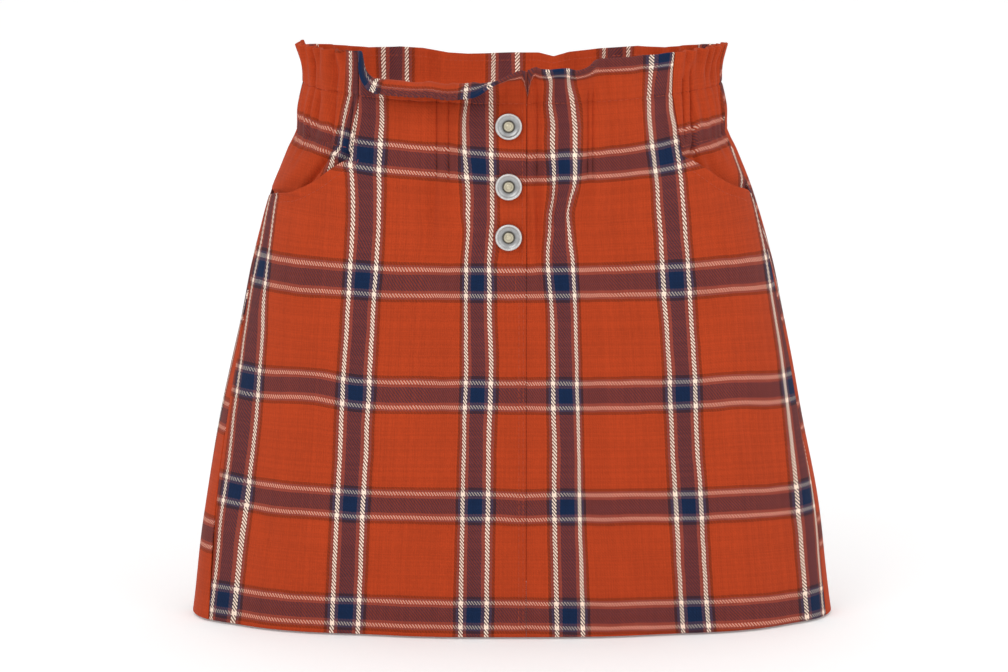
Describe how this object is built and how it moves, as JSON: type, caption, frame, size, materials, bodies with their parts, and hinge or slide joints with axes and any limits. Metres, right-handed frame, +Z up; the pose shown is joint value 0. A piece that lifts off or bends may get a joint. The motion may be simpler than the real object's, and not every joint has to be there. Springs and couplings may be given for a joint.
{
  "type": "flared skirt",
  "caption": "Flared plaid skirt with an elasticated casing, standing ruffled header, curved front pockets and a buttoned front placket, filled out as worn.",
  "frame": {"origin": "middle of the waist casing, at the height of its middle line at the side seams", "axes": "+Z up towards the header, -Y out of the buttoned front, +X to the viewer's right when the front is seen"},
  "size_m": [0.3739, 0.1668, 0.3344],
  "materials": {
    "plaid_twill": "brushed cotton twill with a woven navy and white check on rust",
    "pewter_metal": "antiqued silver, satin"
  },
  "bodies": {
    "root": {"front_left": "plaid_twill", "front_right": "plaid_twill", "hip_yoke_left": "plaid_twill", "hip_yoke_right": "plaid_twill", "back": "plaid_twill", "placket_underlap": "plaid_twill", "button_1": "pewter_metal", "button_2": "pewter_metal", "button_3": "pewter_metal"}
  },
  "joints": []
}
